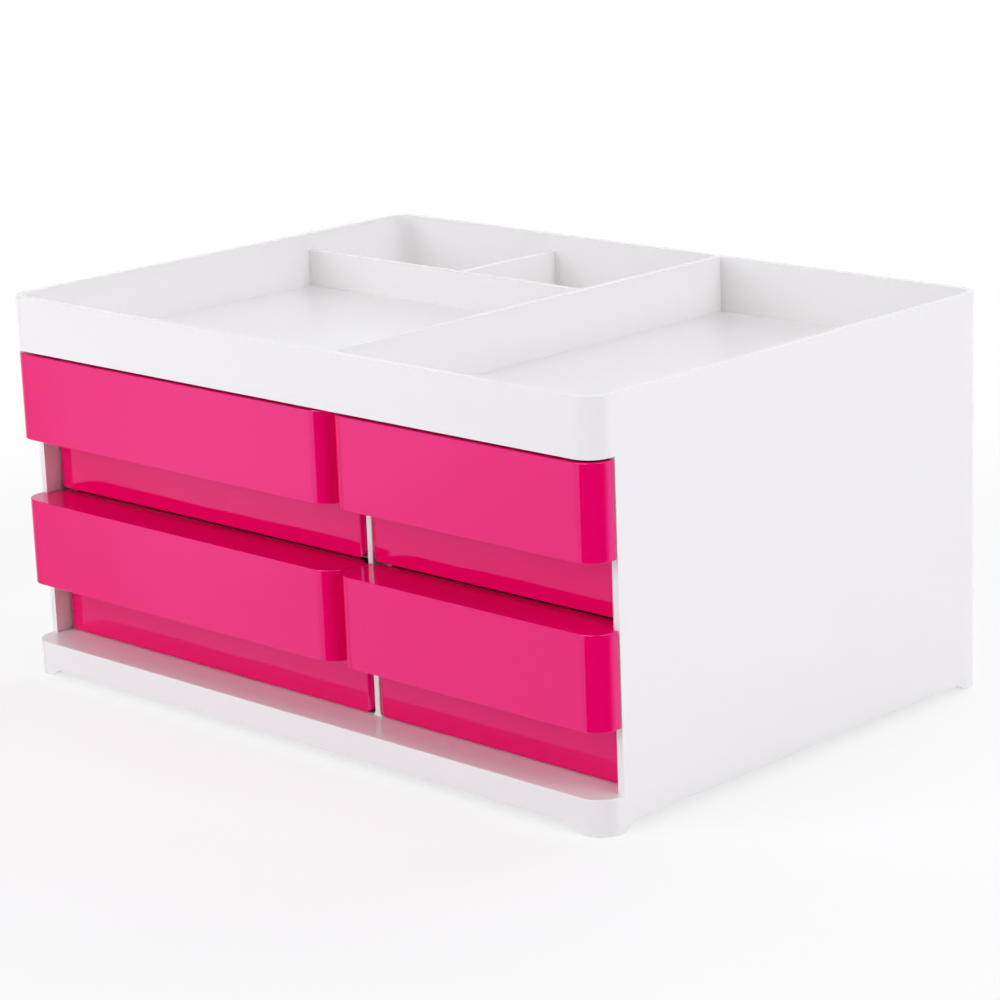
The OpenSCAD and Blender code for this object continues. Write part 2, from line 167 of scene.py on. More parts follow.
pull_plastic = plastic(
    "pink_gloss_polystyrene", PINK, PINK_DRIFT, shine=(0.045, 0.075),
    waves=((0.05, 0.0004), (0.002, 0.0000015)),
    settings={"IOR": 1.59, "Specular_IOR_Level": 1.0, "Specular_Tint": PINK_GLOSS},
)
box_plastic = plastic(
    "pink_satin_polystyrene", PINK, PINK_DRIFT, shine=(0.05, 0.08),
    waves=((0.05, 0.0006), (0.002, 0.0000015)),
    settings={"IOR": 1.59, "Specular_IOR_Level": 0.68, "Specular_Tint": PINK_GLOSS},
)
# %% [markdown]
# ## The cabinet
# The cabinet is one hollow moulding: four walls with rounded upright corners, a floor a little above
# the desk, a fascia across the top of the front and a ledge below the drawers. It could be bent from
# one sheet or built from plates, but a moulding has no joints, so it starts as a single block. The
# block's edges are rounded, its top is inset by the wall's thickness, and the inset face is pushed
# down to the floor.

# %% Helper: sizes from the CAD model
MM = 0.001


def cad_corners(node):
    """The lowest and the highest corner of a CAD node's box, in millimetres."""
    return [[round(v / MM, 3) for v in corner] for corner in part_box(node)]


# %% Helpers: a block, and what is picked on it
import bmesh


def work_on(piece):
    """Only this piece is selected and active, in edit mode."""
    if bpy.context.mode != "OBJECT":
        bpy.ops.object.mode_set(mode="OBJECT")
    bpy.ops.object.select_all(action="DESELECT")
    piece.select_set(True)
    bpy.context.view_layer.objects.active = piece
    bpy.ops.object.mode_set(mode="EDIT")


def leave(piece):
    bpy.ops.object.mode_set(mode="OBJECT")
    return piece


def block(name, low, high):
    """A cube primitive from one corner to the other, in millimetres, with its place in its mesh."""
    bpy.ops.object.select_all(action="DESELECT")
    middle = [(a + b) / 2 * MM for a, b in zip(low, high)]
    size = [(b - a) * MM for a, b in zip(low, high)]
    bpy.ops.mesh.primitive_cube_add(size=1, location=middle, scale=size)
    bpy.ops.object.transform_apply(location=True, rotation=True, scale=True)
    piece = bpy.context.object
    piece.name = piece.data.name = name
    return piece


def pick_faces(piece, test):
    """Selects only the faces whose middle c (millimetres) and outward normal n pass the test."""
    bpy.ops.mesh.select_mode(type="FACE")
    bpy.ops.mesh.select_all(action="DESELECT")
    mesh = bmesh.from_edit_mesh(piece.data)
    for face in mesh.faces:
        face.select_set(test(face.calc_center_median() / MM, face.normal))
    bmesh.update_edit_mesh(piece.data)


def pick_edges(piece, test):
    """Selects only the edges whose two ends a and b (millimetres) pass the test."""
    bpy.ops.mesh.select_mode(type="EDGE")
    bpy.ops.mesh.select_all(action="DESELECT")
    mesh = bmesh.from_edit_mesh(piece.data)
    for edge in mesh.edges:
        a, b = (v.co / MM for v in edge.verts)
        edge.select_set(test(a, b))
    bmesh.update_edit_mesh(piece.data)


def near(value, target, reach=0.02):
    return abs(value - target) < reach


def upright(a, b):
    """True for an edge that runs straight up."""
    return near(a.x, b.x) and near(a.y, b.y) and not near(a.z, b.z)


def along(run, a, b):
    """True for an edge that runs along one axis: 0 is X, 1 is Y, 2 is Z."""
    return all(near(a[i], b[i]) != (i == run) for i in range(3))


def round_picked(radius, steps):
    bpy.ops.mesh.bevel(
        offset=radius * MM, offset_type="OFFSET", segments=steps, profile=0.5,
        affect="EDGES", clamp_overlap=True,
    )


def push(x=0, y=0, z=0):
    """Extrudes what is picked, by a move in millimetres."""
    bpy.ops.mesh.extrude_region_move(
        TRANSFORM_OT_translate={"value": (x * MM, y * MM, z * MM)}
    )


# %% Cabinet: walls and room
WALL = 2.3
CORNER_R = 7.7
GLIDE_GAP = 0.3
CORNER_STEPS = 10
(_, FRONT_Y, _), (SIDE_X, BACK_Y, RIM_Z) = cad_corners("outer_shell")
FLOOR_Z = cad_corners("lower_left_drawer_box")[0][2] - GLIDE_GAP

shell = block("cabinet_shell", (-SIDE_X, FRONT_Y, 0), (SIDE_X, BACK_Y, RIM_Z))
work_on(shell)
pick_edges(shell, upright)
round_picked(CORNER_R, CORNER_STEPS)
pick_faces(shell, lambda c, n: n.z > 0.9)
bpy.ops.mesh.inset(thickness=WALL * MM, use_even_offset=True)
push(z=FLOOR_Z - RIM_Z)
leave(shell)
print("cabinet block:", len(shell.data.polygons), "faces")

# %% [markdown]
# The drawers need an open front, and the under side is hollow too. Such openings are cut with a
# second block and a Boolean modifier, the way that a mould's core leaves its own shape out.

# %% Helpers: cut and join
def combine(piece, tool, operation):
    modifier = piece.modifiers.new(operation.lower(), "BOOLEAN")
    modifier.operation = operation
    modifier.solver = "EXACT"
    modifier.object = tool
    bpy.ops.object.select_all(action="DESELECT")
    piece.select_set(True)
    bpy.context.view_layer.objects.active = piece
    bpy.ops.object.modifier_apply(modifier=modifier.name)
    mesh = tool.data
    bpy.data.objects.remove(tool)
    bpy.data.meshes.remove(mesh)
    return piece


def cut(piece, tool):
    return combine(piece, tool, "DIFFERENCE")


def join(piece, part):
    return combine(piece, part, "UNION")


# %% Cabinet: front opening and hollow under the floor
TRAY_FLOOR_T = 1.7
STEP_Z = cad_corners("tray_floor")[1][2]
FASCIA_Z = STEP_Z - TRAY_FLOOR_T
WALL_FRONT_Y = FRONT_Y + 9.0
FLOOR_T = 2.0
FOOT_W = 5.0
FOOT_TOP_Z = 3.5
PAST = 1.0

opening = block(
    "front_opening",
    (-SIDE_X - PAST, FRONT_Y - PAST, FLOOR_Z),
    (SIDE_X + PAST, WALL_FRONT_Y, FASCIA_Z),
)
cut(shell, opening)

work_on(shell)
pick_faces(shell, lambda c, n: n.z < -0.9 and near(c.z, 0))
bpy.ops.mesh.inset(thickness=FOOT_W * MM, use_even_offset=True)
push(z=FOOT_TOP_Z)
leave(shell)

hollow = block(
    "floor_hollow",
    (-SIDE_X + WALL, FRONT_Y + WALL, FOOT_TOP_Z - 0.01),
    (SIDE_X - WALL, BACK_Y - WALL, FLOOR_Z - FLOOR_T),
)
work_on(hollow)
pick_edges(hollow, upright)
round_picked(CORNER_R - WALL, CORNER_STEPS)
leave(hollow)
cut(shell, hollow)
print("cabinet with its openings:", len(shell.data.polygons), "faces")

# %% [markdown]
# Between the feet the lower edge stands clear of the desk, and it runs down into each foot in a
# soft S-shaped curve. The gap is modelled as a solid of its own: a strip for its roof, whose ends
# are extruded step by step down a cosine curve, then pushed down to close it. One gap runs from
# side to side and one from front to back, and both are cut away.

# %% Cabinet: feet
FOOT_H = 2.5
FOOT_RUN = 0.5
FOOT_BLEND = 6.5
CURVE_STEPS = 10


def foot_gap(half, reach, along_x):
    """The air between two feet: half is the outer half width, reach how far the gap runs across."""
    roof = half - CORNER_R - FOOT_RUN - FOOT_BLEND
    bpy.ops.object.select_all(action="DESELECT")
    bpy.ops.mesh.primitive_plane_add(
        size=1,
        location=(0, 0, FOOT_H * MM),
        scale=(1, 1, 1),
    )
    gap = bpy.context.object
    gap.scale = (2 * roof * MM, 2 * reach * MM, 1) if along_x else (2 * reach * MM, 2 * roof * MM, 1)
    bpy.ops.object.transform_apply(location=True, rotation=True, scale=True)
    work_on(gap)
    for side in (-1, 1):
        for step in range(CURVE_STEPS):
            at = side * (roof + FOOT_BLEND * step / CURVE_STEPS)
            pick_edges(
                gap,
                lambda a, b: near(a.x if along_x else a.y, at) and near(b.x if along_x else b.y, at),
            )
            fall = (
                math.cos(math.pi * step / CURVE_STEPS)
                - math.cos(math.pi * (step + 1) / CURVE_STEPS)
            )
            move = side * FOOT_BLEND / CURVE_STEPS * MM
            drop = -FOOT_H / 2 * fall * MM
            bpy.ops.mesh.extrude_edges_move(
                TRANSFORM_OT_translate={"value": (move, 0, drop) if along_x else (0, move, drop)}
            )
    bpy.ops.mesh.select_mode(type="FACE")
    bpy.ops.mesh.select_all(action="SELECT")
    push(z=-FOOT_H - PAST)
    bpy.ops.mesh.select_all(action="SELECT")
    bpy.ops.mesh.normals_make_consistent(inside=False)
    return leave(gap)


cut(shell, foot_gap(SIDE_X, BACK_Y + PAST, True))
cut(shell, foot_gap(BACK_Y, SIDE_X + PAST, False))
print("cabinet on its feet:", len(shell.data.polygons), "faces")

# %% [markdown]
# Ribs under the floor keep the moulding flat, and narrow ledges inside carry the shelves and the
# tray floor. They are joined on with Boolean unions, each a little way into the wall that it grows
# from, so that no seam is left. The back has an opening with a rebate for the back panel.

# %% Cabinet: ribs, ledges and back opening
RIB_T = 1.5
RIB_H = 5.0
RIB_PITCH = 58.0
LEDGE_W = 3.0
LEDGE_T = 1.8
SHELF_T = 1.6
TRAY_FLOOR_Z = cad_corners("centre_partition")[1][2]
SHELF_FRONT_Y = cad_corners("left_shelf")[0][1]
SHELF_Z = cad_corners("left_shelf")[1][2] - SHELF_T
BOX_T = 1.8
STEP_Y = cad_corners("lower_left_drawer_box")[0][1] + BOX_T + 0.3
ROOT = WALL / 2

for i in range(-2, 3):
    rib = block(
        "rib",
        (i * RIB_PITCH - RIB_T / 2, FRONT_Y + ROOT, FLOOR_Z - FLOOR_T - RIB_H),
        (i * RIB_PITCH + RIB_T / 2, BACK_Y - ROOT, FLOOR_Z - FLOOR_T / 2),
    )
    join(shell, rib)
for i in range(-1, 2):
    rib = block(
        "rib",
        (-SIDE_X + ROOT, i * RIB_PITCH - RIB_T / 2, FLOOR_Z - FLOOR_T - RIB_H),
        (SIDE_X - ROOT, i * RIB_PITCH + RIB_T / 2, FLOOR_Z - FLOOR_T / 2),
    )
    join(shell, rib)

low, high = cad_corners("centre_partition")
PARTITION_X = (low[0] + LEDGE_W, high[0] - LEDGE_W)
PARTITION_FRONT_Y = low[1]
FIT_GAP = 0.15
for top_z, from_y in ((SHELF_Z, SHELF_FRONT_Y), (TRAY_FLOOR_Z, STEP_Y)):
    for side in (-1, 1):
        x = sorted((side * (SIDE_X - ROOT), side * (SIDE_X - WALL - LEDGE_W)))
        back = BACK_Y - CORNER_R if top_z == SHELF_Z else BACK_Y - WALL - LEDGE_W / 2
        join(shell, block("ledge", (x[0], from_y, top_z - LEDGE_T), (x[1], back, top_z)))
for x in ((-SIDE_X + WALL + 2, PARTITION_X[0] - FIT_GAP), (PARTITION_X[1] + FIT_GAP, SIDE_X - WALL - 2)):
    low = (x[0], BACK_Y - WALL - LEDGE_W, TRAY_FLOOR_Z - LEDGE_T)
    join(shell, block("back_ledge", low, (x[1], BACK_Y - ROOT, TRAY_FLOOR_Z)))

PANEL_RIM = 3.0
FLANGE_T = 1.2
low, high = cad_corners("back_panel")
PANEL_X = high[0] + FIT_GAP
PANEL_Z = (low[2] - FIT_GAP, high[2] + FIT_GAP)
rebate = block(
    "rebate",
    (-PANEL_X, BACK_Y - FLANGE_T, PANEL_Z[0]),
    (PANEL_X, BACK_Y + PAST, PANEL_Z[1]),
)
cut(shell, rebate)
window = block(
    "window",
    (-PANEL_X + PANEL_RIM, BACK_Y - WALL - PAST, PANEL_Z[0] + PANEL_RIM),
    (PANEL_X - PANEL_RIM, BACK_Y + PAST, PANEL_Z[1] - PANEL_RIM),
)
cut(shell, window)
print("cabinet complete:", len(shell.data.polygons), "faces")

# %% [markdown]
# A moulded edge is never quite sharp: the mould leaves a radius of a few tenths of a millimetre,
# and that thin line of light is what makes a white box look real. A Bevel modifier rounds every
# sharp edge by the same small radius, also where many edges meet. Weighted normals then keep the
# large faces flat, so that only the rounded edges bend a reflection.

# %% Helpers: clean, round and shade
def tidy(piece):
    """Joins the points that a Boolean left side by side, and melts edges inside flat faces."""
    work_on(piece)
    bpy.ops.mesh.select_all(action="SELECT")
    bpy.ops.mesh.remove_doubles(threshold=0.004 * MM)
    bpy.ops.mesh.select_all(action="SELECT")
    bpy.ops.mesh.dissolve_limited(angle_limit=math.radians(0.4))
    return leave(piece)


def apply_modifier(piece, kind, **settings):
    """Adds a modifier with these settings, and applies it."""
    bpy.ops.object.select_all(action="DESELECT")
    piece.select_set(True)
    bpy.context.view_layer.objects.active = piece
    modifier = piece.modifiers.new(kind.lower(), kind)
    for name, value in settings.items():
        setattr(modifier, name, value)
    bpy.ops.object.modifier_apply(modifier=modifier.name)


def soften(piece, radius, steps=2, rounder=()):
    """Rounds every sharp edge by one radius, and the edges that pass a test in rounder by its own."""
    work_on(piece)
    largest = max([radius] + [own for test, own in rounder])
    bpy.ops.mesh.select_mode(type="EDGE")
    bpy.ops.mesh.select_all(action="DESELECT")
    bpy.ops.mesh.edges_select_sharp(sharpness=math.radians(35))
    bpy.ops.transform.edge_bevelweight(value=radius / largest)
    for test, own in rounder:
        pick_edges(piece, test)
        bpy.ops.transform.edge_bevelweight(value=(own - radius) / largest)
    leave(piece)
    apply_modifier(
        piece, "BEVEL", width=largest * MM, segments=steps, limit_method="WEIGHT",
        miter_outer="MITER_ARC",
    )
    work_on(piece)
    bpy.ops.mesh.select_all(action="SELECT")
    bpy.ops.transform.edge_bevelweight(value=-1)
    leave(piece)


def shade(piece):
    """Smooth over the small edges and flat over the large faces."""
    bpy.ops.object.select_all(action="DESELECT")
    piece.select_set(True)
    bpy.context.view_layer.objects.active = piece
    bpy.ops.object.shade_smooth_by_angle(angle=math.radians(40))
    apply_modifier(piece, "WEIGHTED_NORMAL", keep_sharp=True)
    piece.data.calc_loop_triangles()
    print(f"{piece.name}: {len(piece.data.loop_triangles)} triangles")
    return piece


# %% Cabinet: rounded edges
SHELL_EDGE_R = 0.4
RIM_EDGE_R = 0.7
LEDGE_EDGE_R = 1.5


def on_outline(v):
    """True for a point on the cabinet's outer outline, seen from above."""
    corner = math.hypot(abs(v.x) - (SIDE_X - CORNER_R), abs(v.y) - (BACK_Y - CORNER_R))
    return near(abs(v.x), SIDE_X) or near(abs(v.y), BACK_Y) or near(corner, CORNER_R, 0.1)


def outline_at(*heights):
    """A test for the edges of the cabinet's outline at one of these heights."""
    return lambda a, b: (
        near(a.z, b.z) and any(near(a.z, z) for z in heights) and on_outline(a) and on_outline(b)
    )


tidy(shell)
soften(
    shell, SHELL_EDGE_R, 4,
    rounder=((outline_at(RIM_Z, FASCIA_Z), RIM_EDGE_R), (outline_at(FLOOR_Z), LEDGE_EDGE_R)),
)
shade(shell)

# %% [markdown]
# ## Inside the cabinet
# A partition stands between the two columns of drawers, and a shelf in each column carries the
# upper drawer. Little of them shows: the partition's front edge between the drawers, and a shelf
# when a drawer is pulled out. Each is a plate with tabs or a stop joined on. The partition's foot
# spreads into the floor in a small curve, as moulded walls do: the plate is split twice just above
# the floor, and the lowest edges are moved apart.

# %% Helper: split a piece by a plane
def split(piece, y=None, x=None, z=None):
    """Cuts new edges through the whole mesh where it crosses one plane; nothing is removed."""
    bpy.ops.mesh.select_all(action="SELECT")
    place = ((x or 0) * MM, (y or 0) * MM, (z or 0) * MM)
    normal = (float(x is not None), float(y is not None), float(z is not None))
    bpy.ops.mesh.bisect(plane_co=place, plane_no=normal, use_fill=False, threshold=0.0001 * MM)


# %% Helper: tabs
TAB_L = 10.0
TAB_IN = 16.0
TAB_SHORT = 0.5


def add_tabs(piece, low, high, plate_t, across=False):
    """Two tabs below a plate that stands on low.z; they stop short of the far face of the floor."""
    run = 0 if across else 1
    for end in (low[run] + TAB_IN, high[run] - TAB_IN):
        a = [low[0], low[1], low[2] - plate_t + TAB_SHORT]
        b = [high[0], high[1], low[2] + PAST]
        a[run], b[run] = end - TAB_L / 2, end + TAB_L / 2
        join(piece, block("tab", a, b))


# %% Partition
FOOT_CURVE = ((0.0, 1.0), (0.4, 0.35), (1.2, 0.0))
INNER_BACK_Y = BACK_Y - WALL

low = (PARTITION_X[0], PARTITION_FRONT_Y, FLOOR_Z)
high = (PARTITION_X[1], INNER_BACK_Y, TRAY_FLOOR_Z)
partition = block("centre_partition_plate", low, high)
work_on(partition)
pick_edges(partition, lambda a, b: upright(a, b) and near(a.y, PARTITION_FRONT_Y))
round_picked(0.4, 4)
for height, spread in FOOT_CURVE[1:]:
    split(partition, z=FLOOR_Z + height)
middle_x = sum(PARTITION_X) / 2
for height, spread in FOOT_CURVE:
    for way in (-1, 1):
        at = lambda v: way * (v.x - middle_x) > 0 and near(v.z, FLOOR_Z + height)
        pick_edges(partition, lambda a, b: at(a) and at(b))
        bpy.ops.transform.translate(value=(way * spread * MM, 0, 0))
leave(partition)
add_tabs(partition, low, high, FLOOR_T)
ledges = block(
    "shelf_ledges",
    (PARTITION_X[0] - LEDGE_W, SHELF_FRONT_Y, SHELF_Z - LEDGE_T),
    (PARTITION_X[1] + LEDGE_W, INNER_BACK_Y - ROOT, SHELF_Z),
)
soften(ledges, 0.3)
join(partition, ledges)
tidy(partition)
shade(partition)

# %% Helper: drawer stop
STOP_Y = -48.2
STOP_L = 4.0
STOP_W = 16.0


def add_stop(piece, middle, tip_z, root_z):
    """A bump under a shelf: a ramp in front lets the drawer in, an upright back holds it."""
    stop = block(
        "stop",
        (middle - STOP_W / 2, STOP_Y - STOP_L, tip_z),
        (middle + STOP_W / 2, STOP_Y, root_z),
    )
    work_on(stop)
    tip = lambda v: near(v.z, tip_z) and near(v.y, STOP_Y - STOP_L)
    pick_edges(stop, lambda a, b: tip(a) and tip(b))
    bpy.ops.transform.translate(value=(0, STOP_L * 2 / 3 * MM, 0))
    leave(stop)
    join(piece, stop)


# %% Shelves
FRONT_RISE = 2.1
STOP_CATCH = 1.0
ROW_Z = {row: cad_corners(row + "_left_drawer_box")[0][2] for row in ("lower", "upper")}
BOX_H = cad_corners("upper_left_drawer_box")[1][2] - ROW_Z["upper"] - FRONT_RISE
INNER_X = SIDE_X - WALL
BAY_X = {"left": (-INNER_X, PARTITION_X[0]), "right": (PARTITION_X[1], INNER_X)}


def shelf(column):
    x = BAY_X[column]
    plate = block(
        column + "_shelf_plate",
        (x[0] + FIT_GAP, SHELF_FRONT_Y, SHELF_Z),
        (x[1] - FIT_GAP, INNER_BACK_Y - FIT_GAP, SHELF_Z + SHELF_T),
    )
    outer = x[0] if column == "left" else x[1]
    work_on(plate)
    pick_edges(plate, lambda a, b: upright(a, b) and near(a.x, outer, 1) and a.y > 0)
    round_picked(CORNER_R - WALL, 6)
    leave(plate)
    add_stop(plate, (x[0] + x[1]) / 2, ROW_Z["lower"] + BOX_H - STOP_CATCH, SHELF_Z + SHELF_T / 2)
    tidy(plate)
    soften(plate, 0.3)
    return shade(plate)


shelves = {column: shelf(column) for column in BAY_X}

# %% [markdown]
# ## The tray
# The tray floor lies on the ledges and steps up over the upper drawers' pulls. Its plate is split
# where the step comes, the strip is pushed up, and that strip's front face is pushed forward to the
# fascia. The three dividers stand on it. Edges that touch a wall stay sharp, as there would be no
# groove between the real pieces; only free edges are rounded.

# %% Tray floor
TRAY_Z = TRAY_FLOOR_Z + TRAY_FLOOR_T
RISER_Y = STEP_Y + TRAY_FLOOR_T

tray_floor = block(
    "tray_floor_plate",
    (-INNER_X, STEP_Y, TRAY_FLOOR_Z),
    (INNER_X, INNER_BACK_Y, TRAY_Z),
)
work_on(tray_floor)
split(tray_floor, y=RISER_Y)
pick_faces(tray_floor, lambda c, n: n.z > 0.9 and c.y < RISER_Y)
push(z=STEP_Z - TRAY_Z)
split(tray_floor, z=FASCIA_Z)
pick_faces(tray_floor, lambda c, n: n.y < -0.9 and near(c.y, STEP_Y) and c.z > FASCIA_Z)
push(y=FRONT_Y + WALL - STEP_Y)
pick_edges(
    tray_floor,
    lambda a, b: upright(a, b) and near(abs(a.x), INNER_X)
    and (near(a.y, INNER_BACK_Y) or near(a.y, FRONT_Y + WALL)),
)
round_picked(CORNER_R - WALL, CORNER_STEPS)
pick_edges(
    tray_floor,
    lambda a, b: near(a.y, RISER_Y) and near(b.y, RISER_Y) and near(a.z, b.z)
    and (near(a.z, STEP_Z) or near(a.z, TRAY_Z)),
)
round_picked(0.6, 4)
leave(tray_floor)
print("tray floor with its step:", len(tray_floor.data.polygons), "faces")

# %% Tray dividers
DIVIDER_EDGE_R = 0.6
LONG_X = [corner[0] for corner in cad_corners("long_tray_divider")]
CROSS_Y = [corner[1] for corner in cad_corners("cross_tray_divider")]
SHORT_X = [corner[0] for corner in cad_corners("short_tray_divider")]
LOW_DIVIDER_Z = cad_corners("cross_tray_divider")[1][2]

low, high = (LONG_X[0], RISER_Y, TRAY_Z), (LONG_X[1], INNER_BACK_Y, RIM_Z)
long_divider = block("long_divider_wall", low, high)
add_tabs(long_divider, low, high, TRAY_FLOOR_T)
work_on(long_divider)
split(long_divider, z=STEP_Z)
pick_faces(long_divider, lambda c, n: n.y < -0.9 and near(c.y, RISER_Y) and c.z > STEP_Z)
push(y=FRONT_Y + WALL - RISER_Y)
leave(long_divider)

low, high = (-INNER_X, CROSS_Y[0], TRAY_Z), (LONG_X[0], CROSS_Y[1], LOW_DIVIDER_Z)
cross_divider = block("cross_divider_wall", low, high)
add_tabs(cross_divider, low, high, TRAY_FLOOR_T, across=True)

low, high = (SHORT_X[0], CROSS_Y[1], TRAY_Z), (SHORT_X[1], INNER_BACK_Y, LOW_DIVIDER_Z)
short_divider = block("short_divider_wall", low, high)
add_tabs(short_divider, low, high, TRAY_FLOOR_T)

for wall, along_y, top in (
    (long_divider, True, RIM_Z),
    (cross_divider, False, LOW_DIVIDER_Z),
    (short_divider, True, LOW_DIVIDER_Z),
):
    tidy(wall)
    work_on(wall)
    pick_edges(
        wall,
        lambda a, b: near(a.z, top) and near(b.z, top)
        and (near(a.x, b.x) if along_y else near(a.y, b.y)),
    )
    round_picked(DIVIDER_EDGE_R, 4)
    leave(wall)
    shade(wall)

# %% Tray floor: slots for the tabs, and the upper stops
def cut_slots(low, high, across=False):
    """Slots through the tray floor for a divider's two tabs, a fit gap larger all round."""
    run = 0 if across else 1
    for end in (low[run] + TAB_IN, high[run] - TAB_IN):
        a = [low[0] - FIT_GAP, low[1] - FIT_GAP, TRAY_FLOOR_Z - PAST]
        b = [high[0] + FIT_GAP, high[1] + FIT_GAP, TRAY_Z + PAST]
        a[run], b[run] = end - TAB_L / 2 - FIT_GAP, end + TAB_L / 2 + FIT_GAP
        cut(tray_floor, block("slot", a, b))


cut_slots((LONG_X[0], RISER_Y), (LONG_X[1], INNER_BACK_Y))
cut_slots((-INNER_X, CROSS_Y[0]), (LONG_X[0], CROSS_Y[1]), across=True)
cut_slots((SHORT_X[0], CROSS_Y[1]), (SHORT_X[1], INNER_BACK_Y))
for x in BAY_X.values():
    tip_z = ROW_Z["upper"] + BOX_H - STOP_CATCH
    add_stop(tray_floor, (x[0] + x[1]) / 2, tip_z, TRAY_FLOOR_Z + TRAY_FLOOR_T / 2)
tidy(tray_floor)
shade(tray_floor)

# %% [markdown]
# ## The back panel
# The back is closed by a separate plate that snaps in from behind. A block makes its flange; the
# inner face is inset and pushed in for the plug, and four hooks with slanted noses are joined on.

# %% Back panel
HOOK_W = 12.0
HOOK_T = 1.2
HOOK_IN = 40.0
FLANGE_X = PANEL_X - FIT_GAP
FLANGE_Z = (PANEL_Z[0] + FIT_GAP, PANEL_Z[1] - FIT_GAP)

panel = block(
    "back_panel_plate",
    (-FLANGE_X, BACK_Y - FLANGE_T, FLANGE_Z[0]),
    (FLANGE_X, BACK_Y, FLANGE_Z[1]),
)
work_on(panel)
pick_faces(panel, lambda c, n: n.y < -0.9)
bpy.ops.mesh.inset(thickness=PANEL_RIM * MM, use_even_offset=True)
push(y=INNER_BACK_Y - (BACK_Y - FLANGE_T))
leave(panel)
for x in (-PANEL_X + HOOK_IN, PANEL_X - HOOK_IN):
    for edge_z, way in ((FLANGE_Z[0] + PANEL_RIM, -1), (FLANGE_Z[1] - PANEL_RIM, 1)):
        z = sorted((edge_z - way * HOOK_T, edge_z))
        arm = block(
            "hook",
            (x - HOOK_W / 2, INNER_BACK_Y - FIT_GAP - HOOK_T, z[0]),
            (x + HOOK_W / 2, INNER_BACK_Y + PAST / 2, z[1]),
        )
        work_on(arm)
        split(arm, y=INNER_BACK_Y - FIT_GAP)
        split(arm, y=INNER_BACK_Y)
        pick_edges(
            arm,
            lambda a, b: near(a.z, edge_z) and near(b.z, edge_z)
            and near(a.y, INNER_BACK_Y - FIT_GAP) and near(b.y, a.y),
        )
        bpy.ops.transform.translate(value=(0, 0, way * HOOK_T * MM))
        leave(arm)
        join(panel, arm)
tidy(panel)
soften(panel, 0.3)
shade(panel)

# %% [markdown]
# ## The drawer boxes
# A drawer box is a deep pan with rounded edges, and its front wall is a little taller than the rest
# because the pull hooks over it. It is made as its mould makes it: a block with its edges rounded is
# cut off flat at the rim, and a second, smaller block takes its room out. The front strip of the rim
# is split off and pushed up. Each box is copied for the upper row.

# %% Drawer boxes
BOX_X = {
    column: [corner[0] for corner in cad_corners(f"lower_{column}_drawer_box")] for column in BAY_X
}
BOX_Y = [corner[1] for corner in cad_corners("lower_left_drawer_box")]
BOX_R = 1.8
BOX_SIDE_R = 3.0
BOX_TOE_R = 0.3
CLIP_IN = 30.0
CLIP_W = 6.0
CLIP_T = 1.6
CLIP_DROP = 7.0
BARB_H = 0.8


def drawer_box(column):
    x, z = BOX_X[column], ROW_Z["lower"]
    box = block(
        "lower_" + column + "_drawer_pan",
        (x[0], BOX_Y[0], z),
        (x[1], BOX_Y[1], z + BOX_H + 3 * PAST),
    )
    bottom_side = lambda a, b: along(1, a, b) and near(a.z, z)
    soften(box, BOX_TOE_R, 6, rounder=((upright, BOX_R), (bottom_side, BOX_SIDE_R)))
    work_on(box)
    bpy.ops.mesh.select_all(action="SELECT")
    bpy.ops.mesh.bisect(
        plane_co=(0, 0, (z + BOX_H) * MM), plane_no=(0, 0, 1), use_fill=True, clear_outer=True,
    )
    leave(box)
    room = block(
        "drawer_room",
        (x[0] + BOX_T, BOX_Y[0] + BOX_T, z + BOX_T),
        (x[1] - BOX_T, BOX_Y[1] - BOX_T, z + BOX_H + PAST),
    )
    work_on(room)
    pick_edges(room, lambda a, b: along(1, a, b) and near(a.z, z + BOX_T))
    round_picked(BOX_SIDE_R - BOX_T, 4)
    leave(room)
    cut(box, room)
    work_on(box)
    split(box, y=BOX_Y[0] + BOX_T)
    pick_faces(box, lambda c, n: n.z > 0.9 and near(c.z, z + BOX_H) and c.y < BOX_Y[0] + BOX_T)
    push(z=FRONT_RISE)
    leave(box)
    top = z + BOX_H + FRONT_RISE - CLIP_DROP
    for middle in (x[0] + CLIP_IN, x[1] - CLIP_IN):
        slot = block(
            "clip_slot",
            (middle - CLIP_W / 2 - FIT_GAP, BOX_Y[0] - PAST, top - CLIP_T - FIT_GAP),
            (middle + CLIP_W / 2 + FIT_GAP, BOX_Y[0] + BOX_T + PAST, top + BARB_H + FIT_GAP),
        )
        cut(box, slot)
    tidy(box)
    soften(box, 0.35)
    return shade(box)


boxes = {("lower", column): drawer_box(column) for column in BOX_X}

# %% [markdown]
# ## The pulls
# A pull is a hollow front: a tall face whose two ends turn back round a large radius, closed on top
# and open below for the fingers. Its ends stop just in front of the cabinet's side walls, and its
# middle reaches the drawer box. It starts as a slab with two rounded corners, whose rear is pushed
# back where it runs between the walls. The same slab, smaller by the wall's thickness, is cut out of
# it, and the top wall's rear edge is pushed back over the box's front wall.

# %% Pulls
PULL_X = {
    column: [corner[0] for corner in cad_corners(f"lower_{column}_pull")] for column in BAY_X
}
OUTER_END_Y = WALL_FRONT_Y - 0.3
INNER_END_Y = BOX_Y[0] - 0.3
PULL_R = 7.0
PULL_T = 1.95
PULL_H = cad_corners("lower_left_pull")[1][2] - cad_corners("lower_left_pull")[0][2]
PULL_EDGE_R = 1.1
LIP_EDGE_R = 1.0
BARB_L = 1.4


